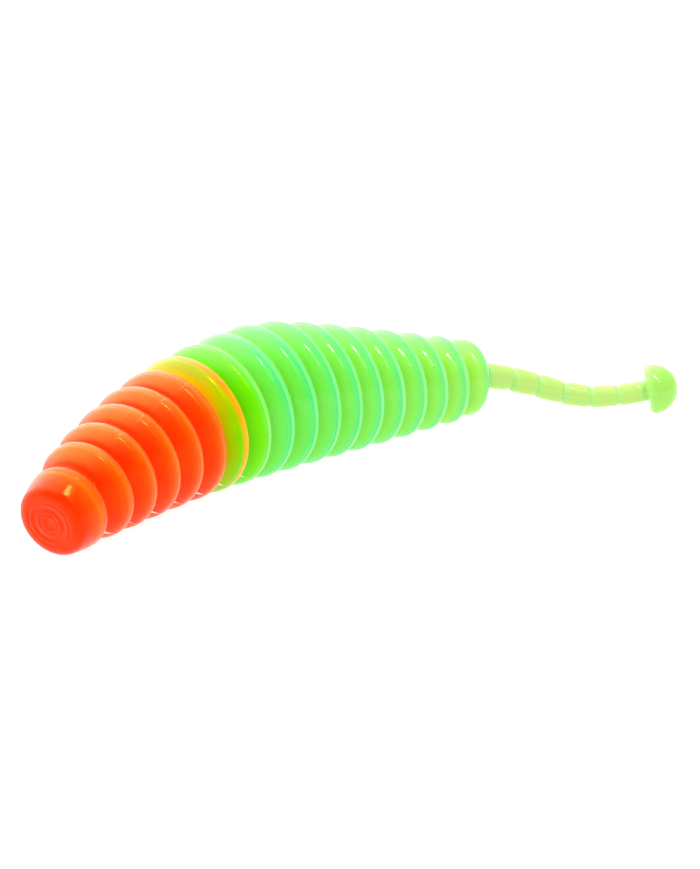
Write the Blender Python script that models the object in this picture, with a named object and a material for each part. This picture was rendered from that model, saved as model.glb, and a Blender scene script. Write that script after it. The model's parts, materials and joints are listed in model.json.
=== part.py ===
"""Soft plastic worm: a ribbed lure body, a thin beaded tail and a button at the tip.

The lure lies on its belly in a gentle curve. Its nose points towards -X and its tail towards
+X, the table is Z = 0, and the origin is the middle of the box around it.

The moulding is divided at every groove and every neck, because that is where it flexes. The
fattest ring is the root. Each other piece hangs on its neighbour on the side of that ring, and
has its origin on the hinge between them. Neighbouring faces are shallow cones, so that they
stay clear of each other when the hinge bends.
"""

import math

import bmesh
import bpy
from mathutils import Matrix, Vector

MM = 0.001

# Driving dimensions, in millimetres. Stations are measured along the centre line, and station 0
# is the groove behind the nose cap.
RING_PITCH = 2.6
NOSE_LENGTH = 3.4
NOSE_FACE_RADIUS = 2.35
DOME_LENGTH = 3.05
DOME_CREST = 3.1
DOME_CREST_AT = 1.1
DOME_STUB = 0.55
BEAD_PITCH = 2.27
BUTTON_STUB = 0.35
BUTTON_LENGTH = 3.0
BUTTON_RADIUS = 2.0
GROOVE_DEPTH = 0.7
NECK_DEPTH = 0.13
CREST_AT = 0.6  # share of the pitch from a ring's front groove to its crest
FIRST_CREST_AT = 0.67  # the same for the first ring, behind the long nose

# The body is a spindle: its crest radius falls from the fattest ring towards both ends, with an
# extra step down to the nose cap. Its belly is straight, but for its last rings, and its back is
# arched, so the rings fan: each axis rises towards the tail, by most at the nose.
FATTEST_RADIUS = 5.85
FATTEST_RING = 9.5
LAST_RING = 16
NOSE_CREST = 3.24
NOSE_DROP = 0.425
REAR_DROP = 0.39
NOSE_POWER = 1.85
REAR_POWER = 1.2
REAR_LIFT = 0.26  # of the last ring's belly from the table
LIFTED_FROM = 12
NOSE_LEAN = 0.22
REAR_LEAN = 0.0
FIRST_BEAD_RADIUS = 1.04
LAST_BEAD_RADIUS = 0.88
BEADS = 6

# Bending: the limits of each groove and neck, and the kinks that the resting curve takes up.
GROOVE_LIMIT = math.radians(7)
GROOVE_KINK = math.radians(3.5)
NECK_LIMIT = math.radians(20)
NECK_KINK = math.radians(12)
TIP_GAP = 0.15  # half the gap between two neighbours on the centre line
RIM_GAP = 0.05  # half the gap left at their rims when the hinge is at its limit

# The resting curve: heading from +X in degrees, and height of the tail's centre line.
HEADINGS = [(-3.4, 19), (9, 14), (20, 3), (30, -2), (40, -8), (47, -28), (54, -46), (62, -30)]
TAIL_HEIGHTS = [
    (41.6, 3.71), (44.7, 3.62), (47.0, 3.1), (49.2, 2.46), (51.5, 1.76),
    (53.7, 1.45), (55.9, 1.6), (58.1, 1.97), (60.8, 2.48),
]
STEP = 0.05

RING_SEGMENTS = 24
TAIL_SEGMENTS = 16

PIECES = (
    ["nose_cap"]
    + [f"head_ring_{n}" for n in range(1, 6)]
    + ["collar_ring"]
    + [f"body_ring_{n}" for n in range(1, 11)]
    + ["rear_dome"]
    + [f"tail_bead_{n}" for n in range(1, BEADS + 1)]
    + ["tail_button"]
)
ROOT = PIECES.index("body_ring_3")
DOME = PIECES.index("rear_dome")
BUTTON = PIECES.index("tail_button")

COLOURS = {
    "orange": (1.0, 0.09, 0.0),
    "yellow": (0.85, 0.52, 0.0),
    "green": (0.13, 0.80, 0.09),
    "lime": (0.42, 0.86, 0.13),
}


def smooth_through(points, x):
    """The value at x of a smooth curve through points, level with its ends outside them."""
    x = min(max(x, points[0][0]), points[-1][0])
    k = max(n for n in range(len(points) - 1) if points[n][0] <= x)
    slopes = []
    for n in (k, k + 1):
        before, after = points[max(n - 1, 0)], points[min(n + 1, len(points) - 1)]
        slopes.append((after[1] - before[1]) / (after[0] - before[0]))
    (x0, y0), (x1, y1) = points[k], points[k + 1]
    width = x1 - x0
    t = (x - x0) / width
    rise = y0 + (y1 - y0) * t * t * (3 - 2 * t)
    return rise + width * t * (1 - t) * (slopes[0] * (1 - t) - slopes[1] * t)


def crest_radius(ring):
    """Crest radius of a ring of the body, which need not be a whole number."""
    if ring < 1:
        return NOSE_CREST + (crest_radius(1) - NOSE_CREST) * ring
    distance = ring - FATTEST_RING
    if distance < 0:
        fall = NOSE_DROP * (-distance / FATTEST_RING) ** NOSE_POWER
    else:
        fall = REAR_DROP * (distance / (LAST_RING - FATTEST_RING)) ** REAR_POWER
    return FATTEST_RADIUS * (1 - fall)


def bead_radius(bead):
    """Radius of a tail bead, counted from 1."""
    share = (bead - 1) / (BEADS - 1)
    return FIRST_BEAD_RADIUS + (LAST_BEAD_RADIUS - FIRST_BEAD_RADIUS) * share


def boundaries():
    """Stations of the nose's face, of each groove and neck, and of the tail's tip."""
    grooves = [RING_PITCH * n for n in range(LAST_RING + 1)]
    root = grooves[-1] + DOME_LENGTH
    necks = [root + BEAD_PITCH * n for n in range(BEADS)]
    tip = root + BEAD_PITCH * BEADS - BUTTON_STUB
    return [-NOSE_LENGTH] + grooves + necks + [tip, tip + BUTTON_LENGTH]


def height(station):
    """Height of the centre line: each ring's belly rests on the table, and the tail droops."""
    if station > TAIL_HEIGHTS[0][0]:
        return smooth_through(TAIL_HEIGHTS, station)
    ring = station / RING_PITCH + 1 - CREST_AT
    lifted = max(0, (ring - LIFTED_FROM) / (LAST_RING - LIFTED_FROM))
    return crest_radius(ring) + REAR_LIFT * lifted**2


def ring_axis(piece, middle):
    """Direction of a body piece's axis, from its nose side to its tail side, at a station."""
    heading = math.radians(smooth_through(HEADINGS, middle))
    lean = NOSE_LEAN + (REAR_LEAN - NOSE_LEAN) * piece / LAST_RING
    return Vector((math.cos(heading), math.sin(heading), lean)).normalized()


def centre_line(first, last):
    """Points of the centre line, one every STEP of its length, from station first to last."""
    points = [Vector((0, 0, height(first)))]
    for n in range(math.ceil((last - first) / STEP)):
        station = first + n * STEP
        rise = height(station + STEP) - height(station)
        level = math.sqrt(STEP**2 - rise**2)
        heading = math.radians(smooth_through(HEADINGS, station))
        step = Vector((level * math.cos(heading), level * math.sin(heading), rise))
        points.append(points[-1] + step)
    return points


def cone(radius, bend):
    """How far a piece's end face leans back from its hinge at its rim, for a bend it allows."""
    return RIM_GAP + radius * math.tan(bend / 2)


def ring_profile(piece, length):
    """Outline of a ring from the front, as pairs of station within the piece and radius."""
    bend = GROOVE_LIMIT + GROOVE_KINK
    crest = crest_radius(piece)
    front = min(crest_radius(piece - 1), crest) - GROOVE_DEPTH
    back = min(crest_radius(piece + 1), crest) - GROOVE_DEPTH
    if piece == LAST_RING:
        back = DOME_CREST - GROOVE_DEPTH
    top = length * (FIRST_CREST_AT if piece == 1 else CREST_AT)
    return [
        (TIP_GAP, 0),
        (cone(front, bend), front),
        (cone(front, bend) + 0.15, front + 0.55 * (crest - front)),
        (top - 0.35, crest - 0.05),
        (top, crest),
        (top + 0.25, crest - 0.1),
        (length - cone(back, bend), back),
        (length - TIP_GAP, 0),
    ]


def nose_profile(length):
    """Outline of the nose cap: a flat face, a rounded edge and a slim cone up to its crest."""
    bend = GROOVE_LIMIT + GROOVE_KINK
    crest = crest_radius(0)
    back = crest - GROOVE_DEPTH
    top = length - RING_PITCH * (1 - CREST_AT)
    return [
        (0, 0),
        (0, NOSE_FACE_RADIUS),
        (0.18, NOSE_FACE_RADIUS + 0.25),
        (0.55, NOSE_FACE_RADIUS + 0.42),
        (top, crest),
        (top + 0.25, crest - 0.1),
        (length - cone(back, bend), back),
        (length - TIP_GAP, 0),
    ]


def dome_profile(length):
    """Outline of the rear dome: a ring's front, a round end, and the stub that the tail starts on."""
    crest = DOME_CREST
    front = crest - GROOVE_DEPTH
    lean = cone(front, GROOVE_LIMIT + GROOVE_KINK)
    root = FIRST_BEAD_RADIUS - NECK_DEPTH
    top = DOME_CREST_AT
    end = length - DOME_STUB
    outline = [(TIP_GAP, 0), (lean, front), (lean + 0.15, front + 0.55 * GROOVE_DEPTH)]
    outline.append((top - 0.35, crest - 0.04))
    for degrees in (0, 25, 45, 65, 80):
        angle = math.radians(degrees)
        across = root + (crest - root) * math.cos(angle)
        outline.append((top + (end - top) * math.sin(angle), across))
    face = length - cone(root, NECK_LIMIT + NECK_KINK)
    return outline + [(end, root), (face, root), (length - TIP_GAP, 0)]


def bead_profile(bead, length):
    """Outline of a tail bead: a barrel that is a little thicker in front."""
    bend = NECK_LIMIT + NECK_KINK
    radius = bead_radius(bead)
    neck = radius - NECK_DEPTH
    lean = cone(neck, bend)
    return [
        (TIP_GAP, 0),
        (lean, neck),
        (lean + 0.25, radius),
        (length - lean - 0.2, radius - 0.03),
        (length - lean, neck),
        (length - TIP_GAP, 0),
    ]


def button_profile(length):
    """Outline of the tail button: a short stub, a flat face, a thick rim and a dome."""
    neck = LAST_BEAD_RADIUS - NECK_DEPTH
    rim = 0.55
    outline = [(TIP_GAP, 0), (cone(neck, NECK_LIMIT + NECK_KINK), neck)]
    outline += [(BUTTON_STUB + 0.1, neck), (BUTTON_STUB + 0.1, BUTTON_RADIUS - 0.25)]
    for degrees in (0, 30, 55, 75):
        angle = math.radians(degrees)
        along = BUTTON_STUB + rim + (length - BUTTON_STUB - rim) * math.sin(angle)
        outline.append((along, BUTTON_RADIUS * math.cos(angle)))
    return outline + [(length, 0)]


def profile_of(piece, length):
    """Outline and number of segments of a piece, by its place along the worm."""
    if piece == 0:
        return nose_profile(length), RING_SEGMENTS
    if piece < DOME:
        return ring_profile(piece, length), RING_SEGMENTS
    if piece == DOME:
        return dome_profile(length), RING_SEGMENTS
    if piece < BUTTON:
        return bead_profile(piece - DOME, length), TAIL_SEGMENTS
    return button_profile(length), TAIL_SEGMENTS


def turned_mesh(name, profile, segments, start):
    """A closed solid, turned about a line along X that starts at the point start."""
    shape = bmesh.new()
    verts = [shape.verts.new((a * MM, 0, -r * MM)) for a, r in profile]
    edges = [shape.edges.new(pair) for pair in zip(verts, verts[1:])]
    bmesh.ops.spin(
        shape, geom=verts + edges, cent=(0, 0, 0), axis=(1, 0, 0),
        angle=2 * math.pi, steps=segments, use_merge=True,
    )
    bmesh.ops.remove_doubles(shape, verts=shape.verts, dist=0.001 * MM)
    bmesh.ops.recalc_face_normals(shape, faces=shape.faces)
    bmesh.ops.translate(shape, verts=shape.verts, vec=start * MM)
    mesh = bpy.data.meshes.new(name)
    shape.to_mesh(mesh)
    shape.free()
    mesh.shade_smooth()
    mesh.set_sharp_from_angle(angle=math.radians(35))
    return mesh


def soft_plastic(name, colour):
    """Glossy soft plastic in one colour."""
    material = bpy.data.materials.new(name)
    material.use_nodes = True
    shader = material.node_tree.nodes["Principled BSDF"]
    shader.inputs["Base Color"].default_value = (*colour, 1)
    shader.inputs["Roughness"].default_value = 0.22
    shader.inputs["Metallic"].default_value = 0.0
    return material


def colour_of(piece):
    """Which pour of plastic a piece is made from."""
    if piece < PIECES.index("collar_ring"):
        return "orange"
    if piece == PIECES.index("collar_ring"):
        return "yellow"
    return "green" if piece <= DOME else "lime"


def add_pieces():
    """Every piece in its place, each parented to its neighbour towards the fattest ring."""
    stations = boundaries()
    line = centre_line(stations[0], stations[-1])
    materials = {name: soft_plastic(name, colour) for name, colour in COLOURS.items()}
    objects = []
    for piece, name in enumerate(PIECES):
        front, back = stations[piece], stations[piece + 1]
        crest = back - RING_PITCH * (1 - CREST_AT) if piece < DOME else front
        ends = [line[round((s - stations[0]) / STEP)] for s in (front, back, crest)]
        if piece <= DOME:
            along = ring_axis(piece, crest)
            length = back - front
        else:
            along = (ends[1] - ends[0]).normalized()
            length = (ends[1] - ends[0]).length
        across = Vector((0, 0, 1)).cross(along).normalized()
        turn = Matrix((along, across, along.cross(across))).transposed()
        pivot = ends[1] if piece < ROOT else ends[0]
        start = turn.transposed() @ (ends[2] - pivot) - Vector((crest - front, 0, 0))
        profile, segments = profile_of(piece, length)
        obj = bpy.data.objects.new(name, turned_mesh(name, profile, segments, start))
        obj.location = pivot * MM
        obj.rotation_euler = turn.to_euler()
        obj.data.materials.append(materials[colour_of(piece)])
        bpy.context.scene.collection.objects.link(obj)
        objects.append(obj)
    bpy.context.view_layer.update()
    for piece, obj in enumerate(objects):
        if piece != ROOT:
            neighbour = objects[piece + (1 if piece < ROOT else -1)]
            obj.parent = neighbour
            obj.matrix_parent_inverse = neighbour.matrix_world.inverted()
    return objects


def stand_on_origin(objects):
    """Moves the root, and all that hangs on it, until the box stands on the origin."""
    bpy.context.view_layer.update()
    corners = [o.matrix_world @ v.co for o in objects for v in o.data.vertices]
    low = Vector([min(c[axis] for c in corners) for axis in range(3)])
    high = Vector([max(c[axis] for c in corners) for axis in range(3)])
    middle = (low + high) / 2
    objects[ROOT].location -= Vector((middle.x, middle.y, low.z))
    bpy.context.view_layer.update()


for old in list(bpy.data.objects):
    bpy.data.objects.remove(old)
stand_on_origin(add_pieces())
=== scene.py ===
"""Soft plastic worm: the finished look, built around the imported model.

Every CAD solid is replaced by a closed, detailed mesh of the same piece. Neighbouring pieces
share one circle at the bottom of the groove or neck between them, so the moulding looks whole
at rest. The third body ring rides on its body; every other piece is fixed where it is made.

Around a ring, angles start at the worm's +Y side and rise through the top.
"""

import json
import math

import bpy
import numpy as np
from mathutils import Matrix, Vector


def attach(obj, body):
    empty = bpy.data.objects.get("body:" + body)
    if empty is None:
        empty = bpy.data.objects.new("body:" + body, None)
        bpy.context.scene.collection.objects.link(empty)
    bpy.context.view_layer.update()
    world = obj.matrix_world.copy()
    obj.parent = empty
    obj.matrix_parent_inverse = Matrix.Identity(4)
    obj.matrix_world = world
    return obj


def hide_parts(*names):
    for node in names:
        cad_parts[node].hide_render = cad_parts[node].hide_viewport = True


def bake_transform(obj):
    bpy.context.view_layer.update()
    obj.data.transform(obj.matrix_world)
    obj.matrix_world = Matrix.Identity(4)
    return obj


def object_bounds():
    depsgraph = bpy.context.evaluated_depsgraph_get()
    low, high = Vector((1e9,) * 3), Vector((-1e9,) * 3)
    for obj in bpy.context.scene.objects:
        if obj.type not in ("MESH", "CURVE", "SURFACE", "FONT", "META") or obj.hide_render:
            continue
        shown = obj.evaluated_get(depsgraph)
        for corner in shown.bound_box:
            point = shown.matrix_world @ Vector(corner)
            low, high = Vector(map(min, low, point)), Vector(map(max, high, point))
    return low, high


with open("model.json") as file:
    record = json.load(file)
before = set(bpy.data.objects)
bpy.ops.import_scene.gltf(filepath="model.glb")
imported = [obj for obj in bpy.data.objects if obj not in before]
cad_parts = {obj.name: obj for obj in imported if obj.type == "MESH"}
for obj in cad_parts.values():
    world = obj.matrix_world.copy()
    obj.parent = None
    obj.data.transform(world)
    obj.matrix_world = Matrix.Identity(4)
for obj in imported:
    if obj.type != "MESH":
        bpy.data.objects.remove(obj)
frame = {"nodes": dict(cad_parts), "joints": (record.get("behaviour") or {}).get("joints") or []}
cad_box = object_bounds()

MM = 0.001

PIECES = (
    ["nose_cap"]
    + [f"head_ring_{n}" for n in range(1, 6)]
    + ["collar_ring"]
    + [f"body_ring_{n}" for n in range(1, 11)]
    + ["rear_dome"]
    + [f"tail_bead_{n}" for n in range(1, 7)]
    + ["tail_button"]
)
ROOT = PIECES.index("body_ring_3")
COLLAR = PIECES.index("collar_ring")
DOME = PIECES.index("rear_dome")
BUTTON = PIECES.index("tail_button")

# Sizes of the moulding's details, in millimetres.
CAD_TIP_GAP = 0.15  # each CAD solid stops this far short of the groove's middle
SAME_PLACE = 0.001  # what counts as the same distance on a CAD solid
GROOVE_DEPTH = 0.66
NECK_DEPTH = 0.18
ROOT_NECK_DEPTH = 0.05  # at the dome and at the button, where the tail hardly narrows
DOME_STUB = 0.55  # length of the straight stub behind the rear dome
BUTTON_STUB = 0.35  # length of the straight stub in front of the button
BUTTON_BACK = 0.45  # from the neck to the button's flat face
BUTTON_RIM = 0.5  # radius of the button's rim
NOSE_FACE = 2.35  # radius that the steps on the nose face are given for
NOSE_EDGE = 0.86  # how far the nose's round edge widens it
LINE_DEPTH = 0.024  # of the faint line just in front of each crest
MOULD_STEP = 0.05  # how far one half of the mould stands proud of the other
FLASH_HEIGHT = 0.32

# How much flash each piece has low in its grooves, from the nose to the first green ring, and
# what every ring behind it has.
HEAD_FLASH = (0.8, 1.0, 0.5, 0.9, 0.6, 1.0, 0.7, 0.5)
BODY_FLASH = 0.12

# Parting lines of the mould, in degrees around a ring.
TOP_PARTING = 116
LOW_PARTING = 230
FLASH_WIDTH = 1.3
STEP_FADES = (125, 190)  # from where to where the step behind the top line fades out

BEAD_ROWS = 22
AROUND = 240

# A bend is the same in either direction, but here rounding opens a gap unless it starts at the
# far end, so this piece's list of bend ends is reversed; the list is made, but nothing bends the
# piece with it.
FAR_END_FIRST = "body_ring_9"


def unit(vector):
    """The vector at length 1."""
    return vector / np.linalg.norm(vector)


def smoothstep(low, high, x):
    """0 below low, 1 above high and smooth between them."""
    t = np.clip((x - low) / (high - low), 0, 1)
    return t * t * (3 - 2 * t)


# Measuring the CAD solids. Everything from here on is in millimetres until a mesh is made.


def solid_points(node):
    """The places of a CAD solid's vertices, each once."""
    mesh = frame["nodes"][node].data
    places = np.empty(len(mesh.vertices) * 3)
    mesh.vertices.foreach_get("co", places)
    return np.unique(places.reshape(-1, 3).round(7), axis=0) / MM


def measure(piece, pivots):
    """Axis, ends, crest and radii of a piece, from its CAD solid."""
    points = solid_points(PIECES[piece])
    middle = points.mean(axis=0)
    if piece <= DOME:
        _, directions = np.linalg.eigh(np.cov((points - middle).T))
        axis = directions[:, 0]
    else:
        axis = unit(middle - pivots[piece - 1])
    axis = axis if axis[0] > 0 else -axis
    along = (points - middle) @ axis
    radius = np.linalg.norm(points - middle - along[:, None] * axis, axis=1)
    crest = radius.max()
    front_gap = 0 if piece == 0 else CAD_TIP_GAP
    back_gap = 0 if piece == BUTTON else CAD_TIP_GAP
    low, high = along.min() - front_gap, along.max() + back_gap
    top = along[radius > crest - SAME_PLACE].mean()
    return {
        "axis": axis,
        "front": middle + axis * low,
        "back": middle + axis * high,
        "length": high - low,
        "crest_at": (top - low) / (high - low),
        "crest": crest,
        "face": radius[along < along.min() + SAME_PLACE].max(),
    }


def seams(sizes, pivots):
    """The circle at the bottom of each groove and neck, as centre, axis and radius."""
    circles = []
    for piece, pivot in enumerate(pivots):
        ahead, behind = sizes[piece], sizes[piece + 1]
        axis = unit(ahead["axis"] + behind["axis"])
        if piece < DOME:
            centre = (ahead["back"] + behind["front"]) / 2
            crest = min(ahead["crest"], behind["crest"])
            radius = crest - GROOVE_DEPTH * (0.4 + 0.6 * crest / sizes[ROOT]["crest"])
        else:
            centre = pivot
            bead = behind if piece == DOME else ahead
            shallow = piece in (DOME, BUTTON - 1)
            radius = bead["crest"] - (ROOT_NECK_DEPTH if shallow else NECK_DEPTH)
        circles.append((centre, axis, radius))
    return circles


# Outlines. Each is a list of rows from the nose side to the tail side: how far along the piece,
# from 0 to 1, the radius, and the share of the way up from the groove to the crest.


def rounded(u, softness):
    """A ramp that starts level and then climbs straight, 0 at 0 and 1 at 1."""
    start = math.hypot(u, softness) - softness
    return start / (math.hypot(1, softness) - softness)


def front_rise(u):
    """Height of a ring's front slope, from its groove at 0 to its crest at 1."""
    return 1 - (1 - rounded(u, 0.10)) ** 2.1


def back_rise(u):
    """Height of a ring's back, from the groove behind it at 0 to its crest at 1."""
    return (1 - (1 - rounded(u, 0.12)) ** 2.4) ** 0.75


def ring_rows(size, front, back):
    """Outline of a ring: a long convex front, a faint line, a tight crest and a steep back."""
    top = size["crest_at"]
    crest = size["crest"]
    near = 0.65 * top
    past = top + 0.25 * (1 - top)
    shares = [near * n / 12 for n in range(12)]
    shares += [near + (past - near) * n / 24 for n in range(24)]
    shares += [past + (1 - past) * n / 12 for n in range(13)]
    rows = []
    for share in shares:
        if share <= top:
            u = share / top
            rise = front_rise(u)
            line = LINE_DEPTH * math.exp(-(((u - 0.86) / 0.05) ** 2))
            rows.append((share, front + (crest - front) * rise - line, rise))
        else:
            rise = back_rise((1 - share) / (1 - top))
            rows.append((share, back + (crest - back) * rise, rise))
    return rows


def nose_rows(size, back):
    """Outline of the nose: a flat face with faint turned steps, a round edge and a slim cone."""
    top = size["crest_at"]
    crest = size["crest"]
    face = size["face"]
    rows = []
    for radius, sunk in (
        (0.05, 0.035), (0.42, 0.035), (0.48, 0.012), (0.74, 0.012), (0.80, 0.04), (0.86, 0.0),
        (1.02, 0.0), (1.08, 0.04), (1.44, 0.035), (1.50, 0.0), (1.64, 0.0), (1.70, 0.03),
        (1.80, 0.025), (1.88, 0.0), (1.95, 0.005),
    ):
        rows.append((sunk / size["length"], radius * face / NOSE_FACE, 1.0))
    inner = 0.84 * face
    for degrees in range(10, 71, 6):
        angle = math.radians(degrees)
        along = 0.01 + 0.75 * (1 - math.cos(angle))
        rows.append((along / size["length"], inner + NOSE_EDGE * math.sin(angle), 1.0))
    start, low = rows[-1][0], rows[-1][1]
    for n in range(1, 31):
        u = n / 30
        share = start + (top - start) * u
        line = LINE_DEPTH * math.exp(-(((u - 0.88) / 0.05) ** 2))
        rows.append((share, low + (crest - low) * (1 - (1 - u) ** 1.35) - line, 1.0))
    for n in range(1, 13):
        share = top + (1 - top) * n / 12
        rise = back_rise((1 - share) / (1 - top))
        rows.append((share, back + (crest - back) * rise, rise))
    return rows


def dome_rows(size, front, back):
    """Outline of the rear dome: a ring's front, a round end and a fillet into the tail."""
    top = size["crest_at"]
    crest = size["crest"]
    rows = []
    for n in range(16):
        rise = front_rise(n / 15)
        rows.append((top * n / 15, front + (crest - front) * rise, rise))
    end = 1 - DOME_STUB / size["length"]
    for n in range(1, 22):
        angle = math.pi / 2 * n / 22
        along = top + (end - top) * math.sin(angle)
        rows.append((along, back + (crest - back) * math.cos(angle) ** 0.9, math.cos(angle)))
    for n in range(1, 6):
        rows.append((end + (1 - end) * n / 5, back, 0.0))
    return rows


def bead_rows(size, front, back):
    """Outline of a tail bead: a barrel with a round shoulder in front and a slow taper behind."""
    crest = size["crest"]
    rows = []
    for n in range(BEAD_ROWS + 1):
        share = n / BEAD_ROWS
        climb = min(1, share / 0.2)
        rise = climb * (2 - climb)
        taper = 0.25 * smoothstep(0.25, 0.85, share)
        close = max(0, (share - 0.82) / 0.18) ** 2
        radius = front + (crest - front) * rise - (crest - back) * (taper + (1 - taper) * close)
        rows.append((share, radius, rise * (1 - close)))
    return rows


def button_rows(size, front):
    """Outline of the tail button: a stub, a flat face, a thick round rim and a dome."""
    length = size["length"]
    crest = size["crest"]
    rows = [(n / 5 * BUTTON_STUB / length, front, 0.0) for n in range(6)]
    rows += [((0.36 + 0.04 * n) / length, front + 0.05 + 0.05 * n * n, 0.1) for n in range(3)]
    inner = crest - BUTTON_RIM
    for radius in (1.2, inner):
        rows.append((BUTTON_BACK / length, radius, 0.4))
    for degrees in range(10, 91, 10):
        angle = math.radians(degrees)
        along = BUTTON_BACK + BUTTON_RIM * (1 - math.cos(angle))
        rows.append((along / length, inner + BUTTON_RIM * math.sin(angle), 0.8))
    start = BUTTON_BACK + BUTTON_RIM
    for degrees in range(6, 90, 6):
        angle = math.radians(degrees)
        along = start + (length - start) * math.sin(angle)
        rows.append((along / length, crest * math.cos(angle), math.cos(angle)))
    return rows


def outline(piece, size, front, back):
    """The rows of any piece, between the radii of the seams on its two sides."""
    if piece == 0:
        return nose_rows(size, back)
    if piece < DOME:
        return ring_rows(size, front, back)
    if piece == DOME:
        return dome_rows(size, front, back)
    if piece < BUTTON:
        return bead_rows(size, front, back)
    return button_rows(size, front)


# Meshes.


def through(start, middle, end, where, share):
    """Points or directions at each share of a smooth curve that is at middle at share where."""
    share = share[:, None]
    first = (share - where) * (share - 1) / where
    second = share * (share - 1) / (where * (where - 1))
    third = share * (share - where) / (1 - where)
    return start * first + middle * second + end * third


def angles():
    """Angles around a piece, closer together at the two parting lines."""
    even = np.arange(AROUND) * 360 / AROUND
    close = [line + np.arange(-2.6, 2.61, 0.4) for line in (TOP_PARTING, LOW_PARTING)]
    kept = [a for a in even if min(abs(a - TOP_PARTING), abs(a - LOW_PARTING)) > 3]
    return np.sort(np.concatenate([kept, *close]))


def build(piece, size, front_seam, back_seam):
    """The closed mesh of one piece, with the attributes that its plastic reads."""
    rows = outline(piece, size, front_seam[2], back_seam[2])
    share, radius, rise = (np.array(column) for column in zip(*rows))
    crest_at = size["crest_at"] if piece <= DOME else 0.5
    crest_centre = size["front"] + size["axis"] * size["length"] * crest_at
    centres = through(front_seam[0], crest_centre, back_seam[0], crest_at, share)
    axes = through(front_seam[1], size["axis"], back_seam[1], crest_at, share)
    axes /= np.linalg.norm(axes, axis=1)[:, None]
    across = np.cross([0, 0, 1], axes)
    across /= np.linalg.norm(across, axis=1)[:, None]
    up = np.cross(axes, across)
    turn = np.radians(angles())
    degrees = np.degrees(turn)[None, :]
    lift = np.zeros((len(rows), len(turn)))
    flash_and_glint = np.zeros_like(lift)
    if piece <= DOME:
        rises = smoothstep(TOP_PARTING - 0.8, TOP_PARTING + 0.8, degrees)
        inside = rises * (1 - smoothstep(*STEP_FADES, degrees))
        if 2 <= piece < COLLAR:
            lift += MOULD_STEP * inside * smoothstep(0.3, 0.9, rise)[:, None]
        amount = HEAD_FLASH[piece] if piece <= COLLAR + 1 else BODY_FLASH
        # Mould flash: a thin fin low in each groove at the lower parting line; the same mask also
        # paints a pale glint on it.
        ridge = np.exp(-(((degrees - LOW_PARTING) / FLASH_WIDTH) ** 2))
        flash_and_glint = amount * ridge * (1 - rise[:, None]) ** 1.5
        lift += FLASH_HEIGHT * flash_and_glint
        lift *= smoothstep(0, 0.05, share)[:, None] * (1 - smoothstep(0.96, 1, share))[:, None]
    out = radius[:, None] + lift
    places = (
        centres[:, None]
        + (out * np.cos(turn))[..., None] * across[:, None]
        + (out * np.sin(turn))[..., None] * up[:, None]
    )
    count = len(turn)
    verts = np.concatenate([places.reshape(-1, 3), centres[[0]], centres[[-1]]])
    faces = []
    for row in range(len(rows) - 1):
        for n in range(count):
            a, b = row * count + n, row * count + (n + 1) % count
            faces.append((a, a + count, b + count, b))
    sides = len(faces)
    first, last = len(verts) - 2, len(verts) - 1
    end = (len(rows) - 1) * count
    for n in range(count):
        faces.append((n, (n + 1) % count, first))
        faces.append((end + (n + 1) % count, end + n, last))
    mesh = bpy.data.meshes.new(PIECES[piece])
    mesh.from_pydata((verts * MM).tolist(), [], faces)
    mesh.shade_smooth()
    flat = [face >= sides for face in range(len(faces))]
    if piece == 0:
        flat[sides::2] = [False] * count
    if piece == BUTTON:
        flat[sides + 1 :: 2] = [False] * count
    mark_ends(mesh, flat)
    station = np.repeat(share, count)
    # By angle: the far side and the belly, and the slope that faces up, where a sheen of the
    # light from above is painted.
    lower = smoothstep(115, 185, degrees[0]) * (1 - smoothstep(300, 355, degrees[0]))
    upper = smoothstep(30, 70, degrees) * (1 - smoothstep(95, 140, degrees))
    # Painted sheen: the upward-facing slopes of the rings are made paler, as the light from above
    # makes them look.
    painted_top_sheen = smoothstep(0.15, 0.5, rise)[:, None] * upper * (0 < piece <= DOME)
    values = {
        "share": np.concatenate([station, [0, 1]]),
        "rise": np.concatenate([np.repeat(rise, count), [rise[0], rise[-1]]]),
        "lower": np.concatenate([np.tile(lower, len(rows)), [0, 0]]),
        "rearward": np.full(len(verts), max(0.0, (piece - ROOT) / (DOME - ROOT))),
        "painted_top_sheen": np.concatenate([painted_top_sheen.ravel(), [0, 0]]),
        "flash_and_glint": np.concatenate([flash_and_glint.ravel(), [0, 0]]),
    }
    for name, numbers in values.items():
        attribute = mesh.attributes.new(name, "FLOAT", "POINT")
        attribute.data.foreach_set("value", numbers.astype(np.float32))
    rest = mesh.attributes.new("rest", "FLOAT_VECTOR", "POINT")
    rest.data.foreach_set("vector", verts.astype(np.float32).ravel())
    obj = bpy.data.objects.new(f"{PIECES[piece]}_skin", mesh)
    bpy.context.scene.collection.objects.link(obj)
    return obj


def mark_ends(mesh, flat):
    """Marks the edge of each end disc sharp, so that it doesn't bend the sides' shading."""
    kinds = {}
    for polygon in mesh.polygons:
        for key in polygon.edge_keys:
            kinds.setdefault(key, set()).add(flat[polygon.index])
    for edge in mesh.edges:
        edge.use_edge_sharp = len(kinds[tuple(sorted(edge.vertices))]) == 2
    for polygon in mesh.polygons:
        polygon.use_smooth = not flat[polygon.index]


# Plastic.


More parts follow.
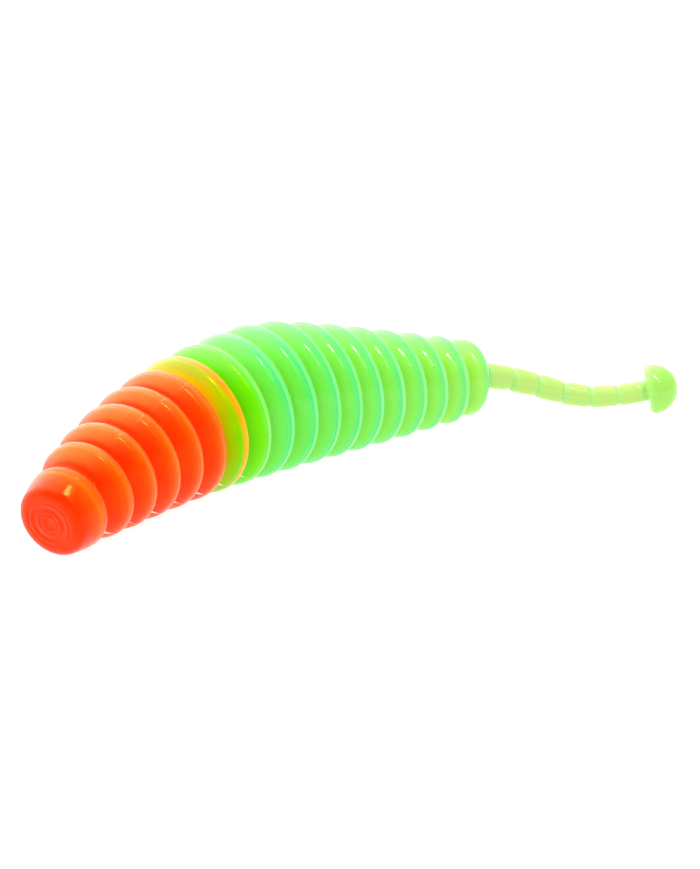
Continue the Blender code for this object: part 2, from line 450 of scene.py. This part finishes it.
class Nodes:
    """Short ways to add and join the nodes of one material."""

    def __init__(self, material):
        self.tree = material.node_tree

    def add(self, kind, **settings):
        node = self.tree.nodes.new(kind)
        for name, value in settings.items():
            setattr(node, name, value)
        return node

    def join(self, source, target):
        self.tree.links.new(source, target)

    def attribute(self, name):
        node = self.add("ShaderNodeAttribute", attribute_name=name)
        return node.outputs["Vector"] if name == "rest" else node.outputs["Fac"]

    def ramp(self, value, stops):
        """A colour ramp over value, through stops of (place, colour)."""
        node = self.add("ShaderNodeValToRGB")
        node.color_ramp.interpolation = "EASE"
        elements = node.color_ramp.elements
        while len(elements) < len(stops):
            elements.new(0.5)
        for element, (place, colour) in zip(elements, stops):
            element.position = place
            element.color = (*colour, 1)
        self.join(value, node.inputs["Fac"])
        return node.outputs["Color"]

    def noise(self, scale, detail=2.0, roughness=0.5):
        node = self.add("ShaderNodeTexNoise")
        node.inputs["Scale"].default_value = scale
        node.inputs["Detail"].default_value = detail
        node.inputs["Roughness"].default_value = roughness
        self.join(self.attribute("rest"), node.inputs["Vector"])
        return node.outputs["Fac"]

    def spread(self, value, low, high, to_low, to_high, smooth=False):
        """Value stretched from one range to another, held at the ends."""
        node = self.add("ShaderNodeMapRange")
        node.interpolation_type = "SMOOTHSTEP" if smooth else "LINEAR"
        for name, number in zip(
            ("From Min", "From Max", "To Min", "To Max"), (low, high, to_low, to_high)
        ):
            node.inputs[name].default_value = number
        self.join(value, node.inputs["Value"])
        return node.outputs["Result"]

    def mix(self, factor, first, second):
        """Two colours mixed; each may be a socket or a fixed colour."""
        node = self.add("ShaderNodeMix", data_type="RGBA")
        sockets = (node.inputs[0], node.inputs[6], node.inputs[7])
        for socket, value in zip(sockets, (factor, first, second)):
            if isinstance(value, bpy.types.NodeSocket):
                self.join(value, socket)
            else:
                socket.default_value = (*value, 1)
        return node.outputs[2]


def soft_plastic(
    name, stops, cloud, gleam, painted_top_sheen, specks=0.0, blend_to=None, glow=0.0, depth=1.1, weight=0.85
):
    """Glossy translucent soft plastic, coloured along each ring from groove to groove.

    Stops are the colours on the way, some of them painted shade deep in the grooves and a painted
    highlight line at the crest, and blend_to gives other stops with the attribute that mixes them
    in. Cloud is the colour of the soft patches; the colour after gleam is painted onto the upper
    slopes as the sheen of the light from above.
    Gleam tints the reflections, depth is in millimetres and weight is how much light goes in.
    """
    material = bpy.data.materials.new(name)
    material.use_nodes = True
    nodes = Nodes(material)
    shader = material.node_tree.nodes["Principled BSDF"]
    colour = nodes.ramp(nodes.attribute("share"), stops)
    if blend_to:
        others, attribute = blend_to
        other = nodes.ramp(nodes.attribute("share"), others)
        colour = nodes.mix(nodes.attribute(attribute), colour, other)
    clouds = nodes.spread(nodes.noise(0.45, 3), 0.35, 0.7, 0, 0.35)
    colour = nodes.mix(clouds, colour, cloud)
    if specks:
        dots = nodes.spread(nodes.noise(4.2, 0), 0.13, 0.16, specks, 0)
        colour = nodes.mix(dots, colour, (0.03, 0.12, 0.02))
    # Paints the sheen of the light from above onto the upper slopes, as a paler colour.
    painted_sheen_amount = nodes.spread(nodes.attribute("painted_top_sheen"), 0, 1, 0, 0.55)
    colour = nodes.mix(painted_sheen_amount, colour, painted_top_sheen)
    # Paints a pale glint of light onto the mould flash low in the grooves.
    flash_and_glint = nodes.spread(nodes.attribute("flash_and_glint"), 0.08, 0.3, 0, 0.95)
    colour = nodes.mix(flash_and_glint, colour, FLASH_PAINTED_GLINT)
    nodes.join(colour, shader.inputs["Base Color"])
    gloss = nodes.spread(nodes.noise(1.3, 4), 0.3, 0.7, 0.08, 0.17)
    nodes.join(gloss, shader.inputs["Roughness"])
    shader.inputs["IOR"].default_value = 1.48
    shader.inputs["Specular Tint"].default_value = (*gleam, 1)
    shader.inputs["Subsurface Weight"].default_value = weight
    shader.inputs["Subsurface Radius"].default_value = (1.0, 0.8, 0.5)
    shader.inputs["Subsurface Scale"].default_value = depth * MM
    # Emission paints a red glow onto the plastic, light that no lamp gives; only the orange
    # plastic has any.
    shader.inputs["Emission Color"].default_value = (1.0, 0.02, 0.0, 1)
    shader.inputs["Emission Strength"].default_value = glow
    bump = nodes.add("ShaderNodeBump")
    bump.inputs["Strength"].default_value = 0.25
    bump.inputs["Distance"].default_value = 0.02 * MM
    nodes.join(nodes.noise(2.6, 4, 0.55), bump.inputs["Height"])
    nodes.join(bump.outputs["Normal"], shader.inputs["Normal"])
    return material


# Pale colour painted on the mould flash as its glint of light.
FLASH_PAINTED_GLINT = (1.0, 0.86, 0.62)
# Along each orange ring: deep red in the groove, which is painted shade, growing more orange up
# the front slope to a pale stop at the crest that paints its highlight line, then painted shade
# again into the next groove.
ORANGE = [
    (0.0, (1.0, 0.012, 0.0)), (0.20, (1.0, 0.026, 0.0)), (0.45, (1.0, 0.070, 0.0)),
    (0.62, (1.0, 0.150, 0.0)), (0.75, (1.0, 0.085, 0.0)), (1.0, (1.0, 0.012, 0.0)),
]
COLLAR_STOPS = [
    (0.0, (0.90, 0.46, 0.0)), (0.20, (0.64, 0.50, 0.0)), (0.40, (0.42, 0.52, 0.0)),
    (0.48, (0.66, 0.40, 0.0)), (0.55, (0.90, 0.27, 0.0)), (0.74, (0.90, 0.29, 0.0)),
    (1.0, (0.7, 0.4, 0.0)),
]
COLLAR_LOW = [
    (0.0, (0.70, 0.50, 0.0)), (0.08, (0.32, 0.58, 0.0)), (0.40, (0.16, 0.62, 0.0)),
    (0.50, (0.40, 0.52, 0.0)), (0.58, (0.90, 0.40, 0.0)), (0.70, (0.80, 0.42, 0.0)),
    (1.0, (0.2, 0.58, 0.0)),
]
# In the green ramps below, the paler stop at the crest (0.63 to 0.64) paints the crest's
# highlight line; the other stops run from groove to groove.
FIRST_GREEN = [
    (0.0, (0.13, 0.70, 0.0)), (0.40, (0.15, 0.72, 0.0)), (0.56, (0.14, 0.72, 0.05)),
    (0.64, (0.30, 0.76, 0.22)), (0.75, (0.18, 0.72, 0.04)), (1.0, (0.13, 0.70, 0.0)),
]
GREEN = [
    (0.0, (0.19, 0.74, 0.02)), (0.26, (0.16, 0.74, 0.05)), (0.44, (0.09, 0.72, 0.11)),
    (0.57, (0.06, 0.68, 0.18)), (0.63, (0.20, 0.72, 0.26)), (0.72, (0.11, 0.72, 0.10)),
    (1.0, (0.19, 0.74, 0.02)),
]
REAR_GREEN = [
    (0.0, (0.38, 0.76, 0.06)), (0.30, (0.33, 0.77, 0.09)), (0.48, (0.20, 0.74, 0.15)),
    (0.57, (0.17, 0.71, 0.20)), (0.64, (0.30, 0.74, 0.28)), (0.78, (0.28, 0.76, 0.12)),
    (1.0, (0.38, 0.76, 0.08)),
]
LIME = [
    (0.0, (0.40, 0.73, 0.19)), (0.12, (0.41, 0.72, 0.17)), (0.28, (0.46, 0.68, 0.14)),
    (0.84, (0.46, 0.68, 0.14)), (1.0, (0.40, 0.73, 0.19)),
]
BUTTON_STOPS = [(0.0, (0.40, 0.72, 0.16)), (0.4, (0.33, 0.70, 0.09)), (1.0, (0.33, 0.70, 0.09))]
WARM_GLEAM = (1.0, 0.45, 0.05)
LIME_GLEAM = (0.8, 1.0, 0.9)
# Colours of the painted sheen that the light from above leaves on the upper slopes.
WARM_PAINTED_SHEEN = (1.0, 0.22, 0.04)
PALE_PAINTED_SHEEN = (0.18, 0.54, 0.14)

# In each plastic, the colour after the gleam is the painted sheen on its upper slopes.
PLASTICS = {
    "orange": soft_plastic(
        "orange_plastic", ORANGE, (1.0, 0.065, 0.0), WARM_GLEAM, WARM_PAINTED_SHEEN, glow=0.22
    ),
    "collar": soft_plastic(
        "collar_plastic", COLLAR_STOPS, (0.5, 0.5, 0.0), (1.0, 0.9, 0.0), (0.32, 0.38, 0.04),
        blend_to=(COLLAR_LOW, "lower"),
    ),
    "first_green": soft_plastic(
        "first_green_plastic", FIRST_GREEN, (0.14, 0.70, 0.0), (0.8, 1.0, 0.1), PALE_PAINTED_SHEEN, 0.4
    ),
    "green": soft_plastic(
        "green_plastic", GREEN, (0.16, 0.73, 0.07), LIME_GLEAM, PALE_PAINTED_SHEEN, 0.4,
        (REAR_GREEN, "rearward"),
    ),
    "dome": soft_plastic(
        "dome_plastic", REAR_GREEN, (0.34, 0.74, 0.12), LIME_GLEAM, PALE_PAINTED_SHEEN,
        depth=0.4, weight=0.5,
    ),
    "lime": soft_plastic(
        "lime_plastic", LIME, (0.42, 0.70, 0.17), LIME_GLEAM, PALE_PAINTED_SHEEN, weight=0.0
    ),
    "button": soft_plastic(
        "button_plastic", BUTTON_STOPS, (0.36, 0.72, 0.13), LIME_GLEAM, PALE_PAINTED_SHEEN,
        depth=0.25, weight=0.25,
    ),
}


def plastic_of(piece):
    """The plastic and the record's material slot of a piece."""
    if piece < COLLAR:
        return "orange", "head_orange"
    if piece == COLLAR:
        return "collar", "collar_yellow"
    if piece == COLLAR + 1:
        return "first_green", "body_green"
    if piece < DOME:
        return "green", "body_green"
    if piece == DOME:
        return "dome", "body_green"
    return ("button" if piece == BUTTON else "lime"), "tail_lime"


def add_worm():
    """Every piece of the moulding; the third body ring rides on its body and the rest stay fixed.
    """
    pivots = [np.array(joint["pos_m"]) / MM for joint in frame["joints"]]
    sizes = [measure(piece, pivots) for piece in range(len(PIECES))]
    circles = seams(sizes, pivots)
    nose = (sizes[0]["front"], sizes[0]["axis"], sizes[0]["face"])
    tip = (sizes[-1]["back"], sizes[-1]["axis"], 0)
    circles = [nose, *circles, tip]
    for piece, name in enumerate(PIECES):
        front, back = circles[piece], circles[piece + 1]
        obj = build(piece, sizes[piece], front, back)
        plastic, slot = plastic_of(piece)
        obj.data.materials.append(PLASTICS[plastic])
        if piece == ROOT:
            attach(obj, name)
        else:
            side = -1 if piece < ROOT else 1
            start = back[0] if piece < ROOT else front[0]
            end = start + sizes[piece]["axis"] * sizes[piece]["length"] * side
            bend = [(PIECES[piece - side], start * MM), (name, end * MM)]
            if name == FAR_END_FIRST:
                bend.reverse()
            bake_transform(obj)
        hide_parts(name)


# Stage, lights and camera.


def add_floor():
    """A plain white table that glows a little, as a light table does."""
    mesh = bpy.data.meshes.new("floor")
    half = 3.0
    corners = [(-half, -half, 0), (half, -half, 0), (half, half, 0), (-half, half, 0)]
    mesh.from_pydata(corners, [], [(0, 1, 2, 3)])
    floor = bpy.data.objects.new("floor", mesh)
    bpy.context.scene.collection.objects.link(floor)
    material = bpy.data.materials.new("white_table")
    material.use_nodes = True
    shader = material.node_tree.nodes["Principled BSDF"]
    shader.inputs["Base Color"].default_value = (0.35, 0.35, 0.35, 1)
    shader.inputs["Roughness"].default_value = 0.8
    shader.inputs["Specular IOR Level"].default_value = 0.1
    shader.inputs["Emission Color"].default_value = (1, 1, 1, 1)
    shader.inputs["Emission Strength"].default_value = 0.92
    mesh.materials.append(material)


def add_light(name, place, aim, size, power):
    """A rectangular area light that looks from place to aim."""
    data = bpy.data.lights.new(name, "AREA")
    data.shape = "RECTANGLE"
    data.size, data.size_y = size
    data.energy = power
    light = bpy.data.objects.new(name, data)
    light.location = place
    way = np.array(aim) - np.array(place)
    light.rotation_euler = direction(way)
    bpy.context.scene.collection.objects.link(light)


def direction(way):
    """Rotation that turns a light or camera to look along way."""
    return Vector(way).to_track_quat("-Z", "Y").to_euler()


CAMERA_AZIMUTH = -42.24
CAMERA_ELEVATION = 17.77
CAMERA_DISTANCE = 0.26738
CAMERA_LENS = 145.0
AIM_OFFSET = (-0.00133, -0.00313, -0.00214)  # from the middle of the worm's box


def add_camera():
    """A long-lens camera that looks down the worm from its nose."""
    low, high = cad_box
    aim = (np.array(low) + np.array(high)) / 2 + np.array(AIM_OFFSET)
    azimuth, elevation = math.radians(CAMERA_AZIMUTH), math.radians(CAMERA_ELEVATION)
    back = np.array(
        [
            math.sin(azimuth) * math.cos(elevation),
            -math.cos(azimuth) * math.cos(elevation),
            math.sin(elevation),
        ]
    )
    data = bpy.data.cameras.new("camera")
    data.lens = CAMERA_LENS
    data.clip_start = 0.005
    camera = bpy.data.objects.new("camera", data)
    camera.location = aim + back * CAMERA_DISTANCE
    camera.rotation_euler = direction(-back)
    bpy.context.scene.collection.objects.link(camera)
    bpy.context.scene.camera = camera


# The surround's brightness behind the camera, behind the worm and in the patch above it, and
# the ways in which the last two lie.
FRONT_GLOW = 0.60
BACK_GLOW = 1.15
LOBE_GLOW = 2.0
BACK_WAY = (0.62, 0.70, -0.31)
LOBE_WAY = (-0.10, 0.66, 0.745)


def add_world():
    """A soft white surround: dim behind the camera, brightest above and behind the worm."""
    world = bpy.data.worlds.new("white_surround")
    world.use_nodes = True
    background = world.node_tree.nodes["Background"]
    background.inputs["Color"].default_value = (1, 1, 1, 1)
    nodes = Nodes(world)
    place = nodes.add("ShaderNodeTexCoord").outputs["Generated"]

    def along(way):
        facing = nodes.add("ShaderNodeVectorMath", operation="DOT_PRODUCT")
        nodes.join(place, facing.inputs[0])
        facing.inputs[1].default_value = way
        return facing.outputs["Value"]

    surround = nodes.spread(along(BACK_WAY), -0.9, 0.9, FRONT_GLOW, BACK_GLOW)
    lobe = nodes.spread(along(LOBE_WAY), 0.35, 1.0, 0, LOBE_GLOW, smooth=True)
    both = nodes.add("ShaderNodeMath", operation="ADD")
    nodes.join(surround, both.inputs[0])
    nodes.join(lobe, both.inputs[1])
    seen = nodes.add("ShaderNodeLightPath").outputs["Is Camera Ray"]
    strength = nodes.add("ShaderNodeMix", data_type="FLOAT")
    nodes.join(seen, strength.inputs[0])
    nodes.join(both.outputs["Value"], strength.inputs[2])
    strength.inputs[3].default_value = 1.0
    nodes.join(strength.outputs[0], background.inputs["Strength"])
    bpy.context.scene.world = world
    bpy.context.scene.view_settings.view_transform = "Standard"


add_worm()
add_floor()
add_light("overhead_core", (0.0, -0.10, 0.36), (0, 0, 0.005), (0.018, 0.10), 0.26)
add_light("overhead_strip", (0.0, -0.20, 0.34), (0, 0, 0.005), (0.015, 0.28), 0.26)
add_world()
add_camera()
